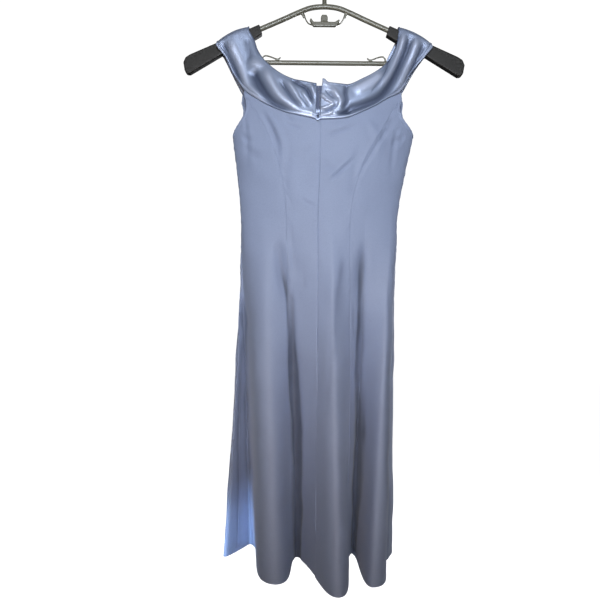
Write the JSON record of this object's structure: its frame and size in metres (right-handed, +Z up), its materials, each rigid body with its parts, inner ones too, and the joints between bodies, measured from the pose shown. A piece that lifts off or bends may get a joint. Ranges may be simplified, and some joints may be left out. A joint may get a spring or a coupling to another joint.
{
  "type": "maxi dress on a hanger",
  "caption": "Child's floor-length flared dress with princess seams, a broad folded satin off-shoulder collar and a back zip, hanging on a plastic hanger",
  "frame": {"origin": "inside of the hook's crown, where the rail carries the hanger", "axes": "+Z up, +X to the right of someone who looks at the back of the dress, -Y out of the back of the dress towards them"},
  "size_m": [0.4436, 0.2474, 0.9652],
  "materials": {
    "crepe": "fine matt crepe, periwinkle blue",
    "satin": "soft satin with broad highlights, periwinkle blue",
    "zip_tape": "woven zip tape",
    "zip_metal": "painted to match the cloth",
    "smoky_plastic": "smoky translucent, glossy",
    "black_grip": "dark satin soft-touch"
  },
  "bodies": {
    "dress": {"back_centre_right": "crepe", "back_side_right": "crepe", "front_side_right": "crepe", "front_centre": "crepe", "front_side_left": "crepe", "back_side_left": "crepe", "back_centre_left": "crepe", "collar_back_left": "satin", "collar_back_right": "satin", "collar_front": "satin", "zip_tape_left": "zip_tape", "zip_tape_right": "zip_tape", "zip_slider": "zip_metal", "hanger_frame": "smoky_plastic", "hanger_bar": "smoky_plastic", "hanger_grip_right": "black_grip", "hanger_grip_left": "black_grip"},
    "pull": {"zip_pull": "zip_metal"}
  },
  "joints": [
    {"name": "zip_pull_hinge", "type": "hinge", "parent": "dress", "child": "pull", "pos_m": [-0.0121, -0.03758, -0.2577], "axis": [-1, 0, 0], "range_deg": [0, 165]}
  ]
}
